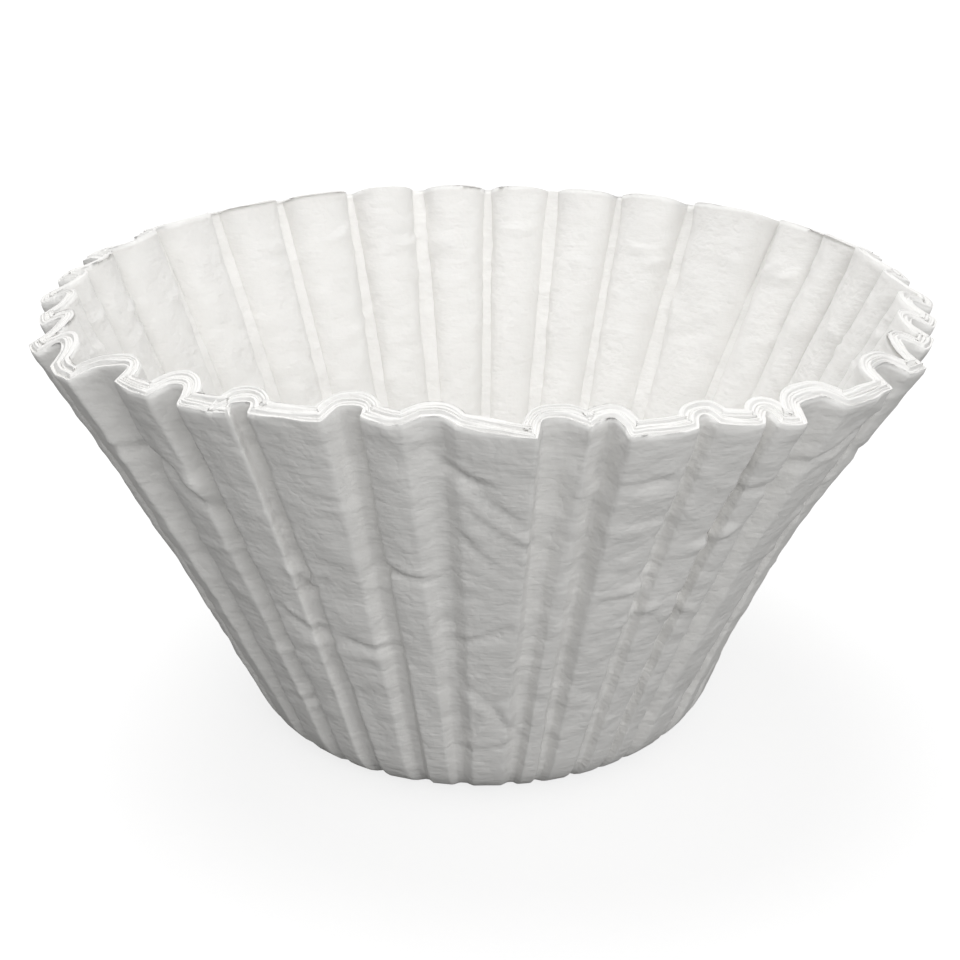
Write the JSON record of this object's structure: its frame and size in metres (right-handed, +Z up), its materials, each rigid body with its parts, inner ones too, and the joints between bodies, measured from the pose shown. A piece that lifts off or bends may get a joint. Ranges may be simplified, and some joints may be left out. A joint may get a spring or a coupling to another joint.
{
  "type": "paper coffee filter",
  "caption": "Fluted basket coffee filter of white paper: a tight nest of sheets pressed into one thick wall with a layered rim, standing on its flat round base.",
  "frame": {"origin": "middle of the flat base's underside", "axes": "+Z up along the basket's axis, -Y towards the front, +X to the right seen from the front"},
  "size_m": [0.194, 0.1946, 0.1007],
  "materials": {
    "filter_paper": "matte bleached filter paper, soft and slightly fibrous, with crisp pressed folds"
  },
  "bodies": {
    "root": {"coffee_filter": "filter_paper"}
  },
  "joints": []
}
